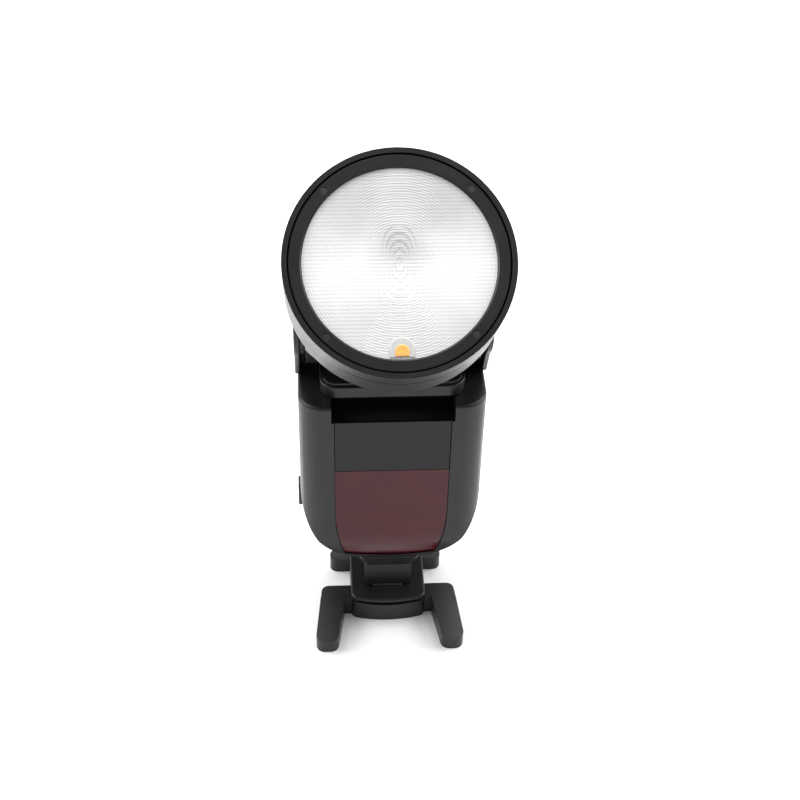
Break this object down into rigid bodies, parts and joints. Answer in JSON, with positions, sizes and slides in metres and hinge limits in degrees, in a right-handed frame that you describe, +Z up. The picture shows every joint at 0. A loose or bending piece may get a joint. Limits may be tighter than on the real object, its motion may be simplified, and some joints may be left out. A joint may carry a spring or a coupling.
{
  "type": "speedlight flash",
  "caption": "Shoe-mount flash with a round fresnel head that tilts and swivels, a slide-in side battery and rear controls, standing in its mini stand.",
  "frame": {"origin": "centre of the mini stand's underside, at the mouth of its threaded insert, on the surface that it stands on", "axes": "+Z up; -Y is the front, where the red window and the lens face; +X is the side with the sockets"},
  "size_m": [0.076, 0.1007, 0.2158],
  "materials": {
    "stand_plastic": "satin",
    "brass": "machined",
    "foot_metal": "brushed",
    "gold_contact": "plated",
    "body_plastic": "fine texture",
    "gloss_panel": "gloss",
    "red_window": "gloss",
    "steel": "satin",
    "inner_plastic": "moulded",
    "capacitor_sleeve": "gloss",
    "circuit_board": "satin",
    "white_plastic": "satin",
    "port_rubber": "matte",
    "key_rubber": "satin",
    "dial_plastic": "satin",
    "lens_plastic": "ribbed",
    "reflector_metal": "polished",
    "tube_glass": "clear",
    "lamp_emitter": "satin"
  },
  "bodies": {
    "stand": {"stand_base": "stand_plastic", "thread_insert": "brass"},
    "flash_body": {"foot_plate": "foot_metal", "contact_pins": "gold_contact", "foot_housing": "body_plastic", "foot_collar": "body_plastic", "casing": "body_plastic", "rear_cover": "body_plastic", "front_panel": "gloss_panel", "sensor_window": "red_window", "af_lamp": "white_plastic", "capacitor": "capacitor_sleeve", "main_board": "circuit_board", "control_board": "circuit_board", "lcd_window": "gloss_panel", "lcd_module": "white_plastic", "battery_bay": "inner_plastic", "battery_contacts": "gold_contact", "usb_socket": "steel", "sync_jack": "inner_plastic", "hub_bearing": "inner_plastic"},
    "lock_ring": {"lock_ring": "body_plastic"},
    "lock_pin": {"lock_pin": "steel"},
    "battery": {"battery_case": "inner_plastic", "battery_cap": "body_plastic"},
    "battery_release": {"battery_release": "body_plastic"},
    "port_cover": {"port_cover": "port_rubber"},
    "yoke": {"swivel_plate": "body_plastic", "swivel_hub": "inner_plastic", "hub_retainer": "steel", "yoke": "body_plastic", "yoke_cover_left": "body_plastic", "yoke_cover_right": "body_plastic", "tilt_pins": "steel"},
    "head": {"head_top_shell": "body_plastic", "head_bottom_shell": "body_plastic", "bezel": "body_plastic", "bezel_screws": "steel", "fresnel_lens": "lens_plastic", "lamp_lens": "lens_plastic", "accessory_ring": "steel", "light_frame": "white_plastic", "lamp_led": "lamp_emitter", "guide_rods": "steel", "zoom_motor": "steel", "head_chassis": "inner_plastic"},
    "zoom": {"reflector": "reflector_metal", "flash_tube": "tube_glass", "zoom_carriage": "inner_plastic"},
    "lead_screw": {"lead_screw": "steel"},
    "select_dial": {"select_dial": "dial_plastic"},
    "set_button": {"set_button": "key_rubber"},
    "power_switch": {"power_switch": "dial_plastic"},
    "function_button_1": {"function_button_1": "key_rubber"},
    "function_button_2": {"function_button_2": "key_rubber"},
    "function_button_3": {"function_button_3": "key_rubber"},
    "function_button_4": {"function_button_4": "key_rubber"},
    "mode_button": {"mode_button": "key_rubber"},
    "menu_button": {"menu_button": "key_rubber"},
    "test_button": {"test_button": "key_rubber"}
  },
  "joints": [
    {"name": "shoe_slide", "type": "slide", "parent": "stand", "child": "flash_body", "axis": [0, 1, 0], "range_m": [0, 0.03]},
    {"name": "lock_turn", "type": "hinge", "parent": "flash_body", "child": "lock_ring", "pos_m": [0, 0, 0.0205], "axis": [0, 0, 1], "range_deg": [0, 45]},
    {"name": "lock_drop", "type": "slide", "parent": "flash_body", "child": "lock_pin", "axis": [0, 0, -1], "range_m": [0, 0.0012]},
    {"name": "battery_slide", "type": "slide", "parent": "flash_body", "child": "battery", "axis": [-1, 0, 0], "range_m": [0, 0.045]},
    {"name": "battery_release_press", "type": "slide", "parent": "flash_body", "child": "battery_release", "axis": [1, 0, 0], "range_m": [0, 0.0008], "stiffness_N_per_m": 800},
    {"name": "port_cover_swing", "type": "hinge", "parent": "flash_body", "child": "port_cover", "pos_m": [0.0334, 0.002, 0.079], "axis": [0, 0, 1], "range_deg": [0, 95]},
    {"name": "function_button_1_press", "type": "slide", "parent": "flash_body", "child": "function_button_1", "axis": [0, -1, 0], "range_m": [0, 0.0006], "stiffness_N_per_m": 1200},
    {"name": "function_button_2_press", "type": "slide", "parent": "flash_body", "child": "function_button_2", "axis": [0, -1, 0], "range_m": [0, 0.0006], "stiffness_N_per_m": 1200},
    {"name": "function_button_3_press", "type": "slide", "parent": "flash_body", "child": "function_button_3", "axis": [0, -1, 0], "range_m": [0, 0.0006], "stiffness_N_per_m": 1200},
    {"name": "function_button_4_press", "type": "slide", "parent": "flash_body", "child": "function_button_4", "axis": [0, -1, 0], "range_m": [0, 0.0006], "stiffness_N_per_m": 1200},
    {"name": "mode_button_press", "type": "slide", "parent": "flash_body", "child": "mode_button", "axis": [0, -1, 0], "range_m": [0, 0.0006], "stiffness_N_per_m": 1200},
    {"name": "menu_button_press", "type": "slide", "parent": "flash_body", "child": "menu_button", "axis": [0, -1, 0], "range_m": [0, 0.0006], "stiffness_N_per_m": 1200},
    {"name": "test_button_press", "type": "slide", "parent": "flash_body", "child": "test_button", "axis": [0, -1, 0], "range_m": [0, 0.0006], "stiffness_N_per_m": 1200},
    {"name": "set_button_press", "type": "slide", "parent": "flash_body", "child": "set_button", "axis": [0, -1, 0], "range_m": [0, 0.0006], "stiffness_N_per_m": 1200},
    {"name": "power_switch_slide", "type": "slide", "parent": "flash_body", "child": "power_switch", "axis": [-1, 0, 0], "range_m": [0, 0.004]},
    {"name": "select_dial_turn", "type": "hinge", "parent": "flash_body", "child": "select_dial", "pos_m": [0, 0.039, 0.059], "axis": [0, 1, 0], "continuous": true},
    {"name": "swivel", "type": "hinge", "parent": "flash_body", "child": "yoke", "pos_m": [0, 0.0109, 0.12], "axis": [0, 0, 1], "range_deg": [-180, 150]},
    {"name": "head_tilt", "type": "hinge", "parent": "yoke", "child": "head", "pos_m": [0, 0.0059, 0.147], "axis": [-1, 0, 0], "range_deg": [-57, 70]},
    {"name": "zoom_slide", "type": "slide", "parent": "head", "child": "zoom", "axis": [0, -0.6428, 0.766], "range_m": [-0.006, 0.004]},
    {"name": "lead_screw_spin", "type": "hinge", "parent": "head", "child": "lead_screw", "pos_m": [0, 0.00913, 0.17582], "axis": [0, -0.6428, 0.766], "range_deg": [-280, 190]}
  ],
  "couplings": [
    {"joint": "lock_drop", "follows": "lock_turn", "m_per_rad": 0.0015279},
    {"joint": "lead_screw_spin", "follows": "zoom_slide", "rad_per_m": 785.4}
  ]
}
